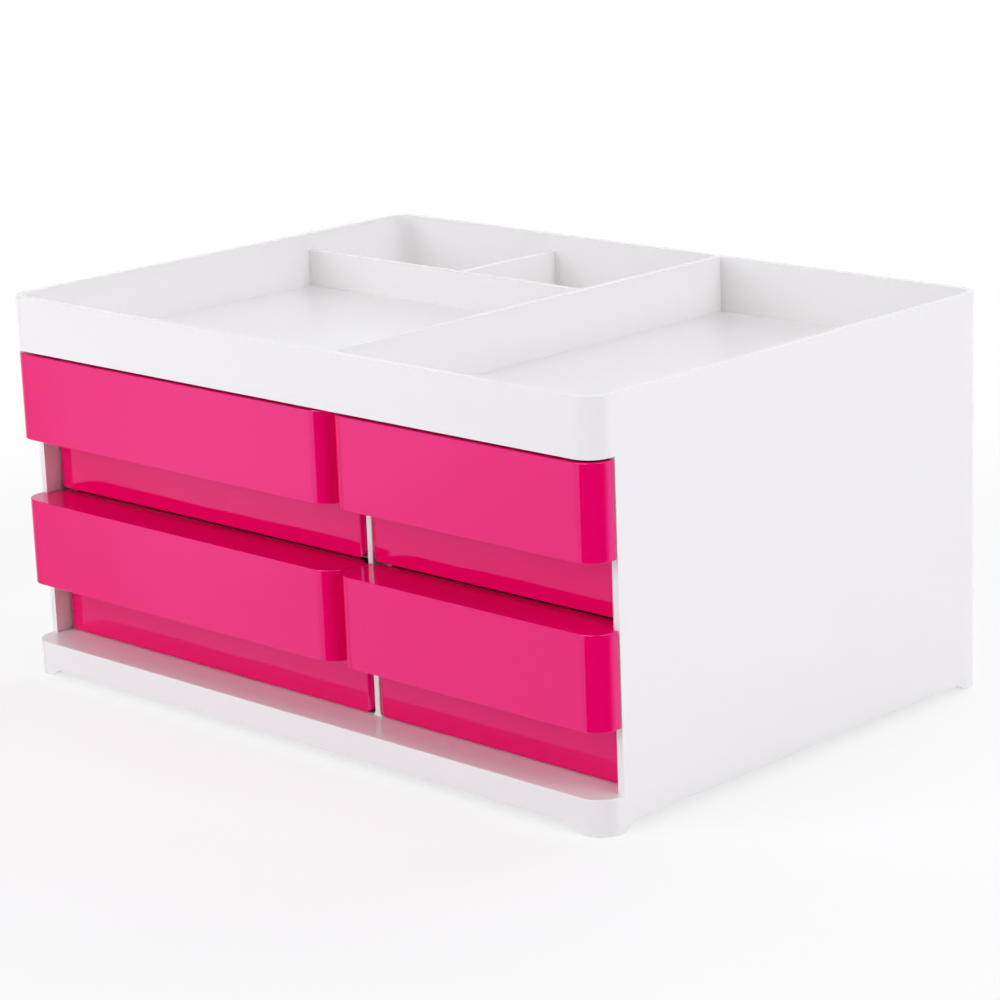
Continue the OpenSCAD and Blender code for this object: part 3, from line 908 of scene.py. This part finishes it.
def pull_slab(name, column, inset, z, rear_y):
    """A pull's plan as a slab: wide in front, and the box's width where it reaches rear_y."""
    way = 1 if column == "left" else -1
    outer, inner = PULL_X[column][::way]
    box_outer, box_inner = BOX_X[column][::way]
    outer, box_outer = outer + way * inset, box_outer + way * inset
    inner, box_inner = inner - way * inset, box_inner - way * inset
    front, outer_end, inner_end = FRONT_Y + inset, OUTER_END_Y - inset, INNER_END_Y - inset
    x = sorted((outer, inner))
    slab = block(name, (x[0], front, z[0]), (x[1], outer_end, z[1]))
    work_on(slab)
    pick_edges(slab, lambda a, b: upright(a, b) and near(a.y, front))
    round_picked(min(PULL_R - inset, outer_end - front - 0.1), 12)
    split(slab, x=box_outer)
    pick_faces(slab, lambda c, n: n.y > 0.9 and (c.x - box_outer) * way > 0)
    push(y=inner_end - outer_end)
    split(slab, x=box_inner)
    pick_faces(
        slab, lambda c, n: n.y > 0.9 and near(c.y, inner_end) and (c.x - box_inner) * way < 0
    )
    push(y=rear_y - inner_end)
    bpy.ops.mesh.select_all(action="SELECT")
    bpy.ops.mesh.dissolve_limited(angle_limit=math.radians(0.4))
    return leave(slab)


def pull_body(column, top):
    """The hollow pull, with its top wall reaching back over the box's front wall."""
    name = f"lower_{column}_pull_front"
    pull = pull_slab(name, column, 0, (top - PULL_H, top), BOX_Y[0])
    hollow = pull_slab("hollow", column, PULL_T, (top - PULL_H - PAST, top - PULL_T), BOX_Y[0] + PAST)
    cut(pull, hollow)
    low_x, high_x = BOX_X[column][0] + BOX_R, BOX_X[column][1] - BOX_R
    work_on(pull)
    split(pull, z=top - PULL_T)
    split(pull, x=low_x)
    split(pull, x=high_x)
    pick_faces(
        pull,
        lambda c, n: n.y > 0.9 and near(c.y, BOX_Y[0]) and c.z > top - PULL_T
        and low_x < c.x < high_x,
    )
    push(y=BOX_T)
    return leave(pull)


def add_clip(pull, middle, top):
    """A flat arm through the box's front wall, with a barb that catches behind it."""
    barb_y = BOX_Y[0] + BOX_T + FIT_GAP
    arm = block(
        "clip_arm",
        (middle - CLIP_W / 2, FRONT_Y + PULL_T / 2, top - CLIP_DROP - CLIP_T),
        (middle + CLIP_W / 2, barb_y + BARB_L, top - CLIP_DROP),
    )
    work_on(arm)
    split(arm, y=barb_y)
    pick_faces(arm, lambda c, n: n.z > 0.9 and c.y > barb_y)
    push(z=BARB_H)
    end = lambda v: near(v.z, top - CLIP_DROP + BARB_H) and near(v.y, barb_y + BARB_L)
    pick_edges(arm, lambda a, b: end(a) and end(b))
    bpy.ops.transform.translate(value=(0, 0, -BARB_H * MM))
    leave(arm)
    tidy(arm)
    join(pull, arm)


def pull_front(column):
    wall_top = ROW_Z["lower"] + BOX_H + FRONT_RISE
    top = wall_top + PULL_T
    pull = pull_body(column, top)
    for middle in (BOX_X[column][0] + CLIP_IN, BOX_X[column][1] - CLIP_IN):
        add_clip(pull, middle, wall_top)
    tidy(pull)

    def front_outline(a, b):
        """The top and bottom edges round the front, as far as the ends."""
        level = near(a.z, b.z) and (near(a.z, top) or near(a.z, top - PULL_H))
        wide = PULL_X[column]
        outside = all(
            near(v.y, FRONT_Y) or near(v.x, wide[0]) or near(v.x, wide[1])
            or min(
                abs(math.hypot(v.x - x, v.y - FRONT_Y - PULL_R) - PULL_R)
                for x in (wide[0] + PULL_R, wide[1] - PULL_R)
            ) < 0.1
            for v in (a, b)
        )
        return level and outside

    lip_y = BOX_Y[0] + BOX_T
    lip_edge = lambda a, b: along(0, a, b) and near(a.z, top) and near(a.y, lip_y)
    soften(pull, 0.35, 4, rounder=((front_outline, PULL_EDGE_R), (lip_edge, LIP_EDGE_R)))
    return shade(pull)


pulls = {("lower", column): pull_front(column) for column in PULL_X}

# %% [markdown]
# ## Dress and place the pieces
# The upper row's drawers are the same mouldings as the lower row's, so they are copied, each with
# its own mesh, and moved up by one row. Every piece then gets its plastic, and rides on the body
# that its CAD node belongs to.

# %% Copy the lower drawers
def copy_up(piece, name):
    bpy.ops.object.select_all(action="DESELECT")
    piece.select_set(True)
    bpy.context.view_layer.objects.active = piece
    bpy.ops.object.duplicate(linked=False)
    copy = bpy.context.object
    bpy.ops.transform.translate(value=(0, 0, (ROW_Z["upper"] - ROW_Z["lower"]) * MM))
    bpy.ops.object.transform_apply(location=True, rotation=True, scale=True)
    copy.name = copy.data.name = name
    return copy


for column in BAY_X:
    boxes["upper", column] = copy_up(boxes["lower", column], f"upper_{column}_drawer_pan")
    pulls["upper", column] = copy_up(pulls["lower", column], f"upper_{column}_pull_front")

# %% Materials and bodies
def place(piece, material, node, body, slot):
    piece.data.materials.clear()
    piece.data.materials.append(material)
    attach(piece, body)
    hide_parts(node)


for piece, node in (
    (shell, "outer_shell"),
    (panel, "back_panel"),
    (partition, "centre_partition"),
    (shelves["left"], "left_shelf"),
    (shelves["right"], "right_shelf"),
    (tray_floor, "tray_floor"),
    (long_divider, "long_tray_divider"),
    (cross_divider, "cross_tray_divider"),
    (short_divider, "short_tray_divider"),
):
    place(piece, white_abs, node, "cabinet", "cabinet_plastic")
for row in ("upper", "lower"):
    for column in ("left", "right"):
        body = f"{row}_{column}_drawer"
        place(boxes[row, column], box_plastic, body + "_box", body, "drawer_plastic")
        place(pulls[row, column], pull_plastic, f"{row}_{column}_pull", body, "drawer_plastic")
print("all nodes replaced:", all(n.hide_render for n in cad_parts.values()))

# %% [markdown]
# ## The studio
# The floor is white paper. It keeps the object's shadow, and further out it becomes plain white for
# the camera, so that no grey horizon shows behind the object.

# %% Floor
LIT_R = 0.2
WHITE_R = 0.5
SHADOW = 0.3

bpy.ops.object.select_all(action="DESELECT")
bpy.ops.mesh.primitive_circle_add(vertices=96, radius=6, fill_type="NGON")
floor = bpy.context.object
floor.name = "studio_floor"
floor.visible_glossy = False
paper = new_material("white_background_paper")
tree = paper.node_tree
matt = add_node(tree, "ShaderNodeBsdfDiffuse", Color=(0.93, 0.93, 0.93, 1))
glow = add_node(tree, "ShaderNodeEmission", Color=(1, 1, 1, 1), Strength=1.0)
where = add_node(tree, "ShaderNodeTexCoord").outputs["Object"]
far = add_node(tree, "ShaderNodeVectorMath", {"operation": "LENGTH"})
tree.links.new(where, far.inputs[0])
fade = add_node(
    tree, "ShaderNodeMapRange", {"interpolation_type": "SMOOTHSTEP"}, Value=far.outputs["Value"],
    From_Min=LIT_R, From_Max=WHITE_R, To_Min=1 - SHADOW, To_Max=1.0,
)
path = add_node(tree, "ShaderNodeLightPath")
seen = add_node(tree, "ShaderNodeMath", {"operation": "MULTIPLY"})
tree.links.new(fade.outputs["Result"], seen.inputs[0])
tree.links.new(path.outputs["Is Camera Ray"], seen.inputs[1])
blend = add_node(tree, "ShaderNodeMixShader", Fac=seen.outputs[0])
tree.links.new(matt.outputs[0], blend.inputs[1])
tree.links.new(glow.outputs[0], blend.inputs[2])
add_node(tree, "ShaderNodeOutputMaterial", Surface=blend.outputs[0])
floor.data.materials.append(paper)

# %% [markdown]
# Gloss is drawn by what it mirrors. Screens stand round the camera's side of the set, and only
# mirror rays see them. Below the horizon a white card on the left falls off towards the middle, and
# black velvet follows it: the flat fronts mirror the card, while the round ends of the pulls turn
# towards the velvet and go deep pink. Above the horizon the room in front of the set is dark.

# %% Screens for the mirror rays
SCREEN_R = 4.0
CARD_FALL = (-139.5, -130)
CARD_EDGE = -99
CARD_LEVEL = (1.05, 0.92)
CARD_RISE = (-146, -139.5)
CARD_FOOT = (-1.12, -0.87)
VELVET_FADE = (8, 48)


def screen(name, turns, heights, material, radius=SCREEN_R):
    """A strip of a wall round the set, between two turns in degrees, that only mirror rays see."""
    bpy.ops.object.select_all(action="DESELECT")
    bpy.ops.mesh.primitive_cylinder_add(
        vertices=360, radius=radius, depth=heights[1] - heights[0], end_fill_type="NOTHING",
        location=(0, 0, (heights[0] + heights[1]) / 2),
    )
    wall = bpy.context.object
    wall.name = name
    bpy.ops.object.transform_apply(location=True, rotation=True, scale=True)
    work_on(wall)
    pick_faces(wall, lambda c, n: not turns[0] <= math.degrees(math.atan2(c.y, c.x)) <= turns[1])
    bpy.ops.mesh.delete(type="FACE")
    leave(wall)
    for ray in ("camera", "diffuse", "transmission", "volume_scatter", "shadow"):
        setattr(wall, "visible_" + ray, False)
    wall.data.materials.append(material)


card_and_velvet = new_material("white_card_and_black_velvet")
tree = card_and_velvet.node_tree
where = add_node(tree, "ShaderNodeTexCoord").outputs["Object"]
round_set = add_node(tree, "ShaderNodeTexGradient", {"gradient_type": "RADIAL"}, Vector=where)
turn = add_node(
    tree, "ShaderNodeMapRange", Value=round_set.outputs["Fac"], To_Min=-180.0, To_Max=180.0
).outputs["Result"]
card = add_node(
    tree, "ShaderNodeMapRange", Value=turn, From_Min=CARD_FALL[0], From_Max=CARD_FALL[1],
    To_Min=CARD_LEVEL[0], To_Max=CARD_LEVEL[1],
)
on_card = add_node(tree, "ShaderNodeMath", {"operation": "LESS_THAN"})
tree.links.new(turn, on_card.inputs[0])
on_card.inputs[1].default_value = CARD_EDGE
rise = add_node(
    tree, "ShaderNodeMapRange", Value=turn, From_Min=CARD_RISE[0], From_Max=CARD_RISE[1],
    To_Min=0.45, To_Max=1.0,
)
height = add_node(tree, "ShaderNodeSeparateXYZ", Vector=where).outputs["Z"]
foot = add_node(
    tree, "ShaderNodeMapRange", Value=height, From_Min=CARD_FOOT[0], From_Max=CARD_FOOT[1],
    To_Min=0.82, To_Max=1.0,
)
left = on_card
for part in (card, rise, foot):
    product = add_node(tree, "ShaderNodeMath", {"operation": "MULTIPLY"})
    tree.links.new(left.outputs[0], product.inputs[0])
    tree.links.new(part.outputs["Result"], product.inputs[1])
    left = product
right = add_node(
    tree, "ShaderNodeMapRange", {"interpolation_type": "SMOOTHSTEP"}, Value=turn,
    From_Min=VELVET_FADE[0], From_Max=VELVET_FADE[1],
)
both = add_node(tree, "ShaderNodeMath", {"operation": "ADD"})
tree.links.new(left.outputs[0], both.inputs[0])
tree.links.new(right.outputs["Result"], both.inputs[1])
cloth = add_node(tree, "ShaderNodeEmission", Color=both.outputs[0], Strength=1.0)
add_node(tree, "ShaderNodeOutputMaterial", Surface=cloth.outputs[0])

dark_room = new_material("dark_room")
tree = dark_room.node_tree
dark = add_node(tree, "ShaderNodeEmission", Color=(0.02, 0.02, 0.02, 1), Strength=1.0)
add_node(tree, "ShaderNodeOutputMaterial", Surface=dark.outputs[0])

strip_light = new_material("strip_light")
tree = strip_light.node_tree
tube = add_node(tree, "ShaderNodeEmission", Color=(1, 1, 1, 1), Strength=6.0)
add_node(tree, "ShaderNodeOutputMaterial", Surface=tube.outputs[0])

screen("card_and_velvet", (-180, VELVET_FADE[1]), (-3.0, 0.0), card_and_velvet)
screen("dark_room", (-180, VELVET_FADE[0]), (0.0, 4.0), dark_room)
screen("strip_light", (-122, -62), (0.9, 6.0), strip_light, radius=SCREEN_R - 0.1)

# %% [markdown]
# Four large softboxes light the set: the key from the front left, one from the right, one from
# above and one from behind. The world gives a little light from everywhere. For the camera and for
# mirror rays it is plain white, as the walls of a light tent are.

# %% Softboxes
SET_MIDDLE = Vector((0, 0, 0.06))
COOL_LIGHT = "#F9F9FF"
FULL_LIGHT = math.pi ** 2


def softbox(name, turn, rise, level, distance=2.0, size=1.5, mirrored=False):
    """A square area lamp that gives this level of light on a surface that faces it."""
    out = Matrix.Rotation(math.radians(turn), 4, "Z") @ Matrix.Rotation(math.radians(-rise), 4, "Y")
    place = SET_MIDDLE + out @ Vector((distance, 0, 0))
    bpy.ops.object.light_add(type="AREA")
    lamp = bpy.context.object
    lamp.name = lamp.data.name = name
    lamp.data.size = size
    lamp.data.color = linear(COOL_LIGHT)[:3]
    lamp.data.energy = level * FULL_LIGHT * distance ** 2
    aim = (SET_MIDDLE - place).to_track_quat("-Z", "Y").to_matrix().to_4x4()
    lamp.matrix_world = Matrix.Translation(place) @ aim
    lamp.visible_glossy = mirrored
    print(name, "gives", round(lamp.data.energy, 1), "W")


softbox("low_softbox", -116, 10, 0.22, distance=1.2, size=0.5)
softbox("key_softbox", -114, 30, 0.41)
softbox("right_softbox", -3, 25, 0.59, mirrored=True)
softbox("top_softbox", 0, 88, 0.17)
softbox("back_softbox", 95, 35, 0.56)
softbox("left_softbox", 172, 30, 0.2)

# %% World
AMBIENT = 0.08

world = bpy.data.worlds.new("light_tent")
bpy.context.scene.world = world
world.use_nodes = True
tree = world.node_tree
tree.nodes.clear()
air = add_node(tree, "ShaderNodeBackground", Color=(1, 1, 1, 1), Strength=AMBIENT)
tent = add_node(tree, "ShaderNodeBackground", Color=(1, 1, 1, 1), Strength=1.0)
path = add_node(tree, "ShaderNodeLightPath")
glossy = add_node(tree, "ShaderNodeMath", {"operation": "MAXIMUM"})
tree.links.new(path.outputs["Is Camera Ray"], glossy.inputs[0])
tree.links.new(path.outputs["Is Glossy Ray"], glossy.inputs[1])
seen = add_node(tree, "ShaderNodeMath", {"operation": "MAXIMUM"})
tree.links.new(glossy.outputs[0], seen.inputs[0])
tree.links.new(path.outputs["Is Transmission Ray"], seen.inputs[1])
choose = add_node(tree, "ShaderNodeMixShader", Fac=seen.outputs[0])
tree.links.new(air.outputs[0], choose.inputs[1])
tree.links.new(tent.outputs[0], choose.inputs[2])
add_node(tree, "ShaderNodeOutputWorld", Surface=choose.outputs[0])

bpy.context.scene.view_settings.view_transform = "Standard"
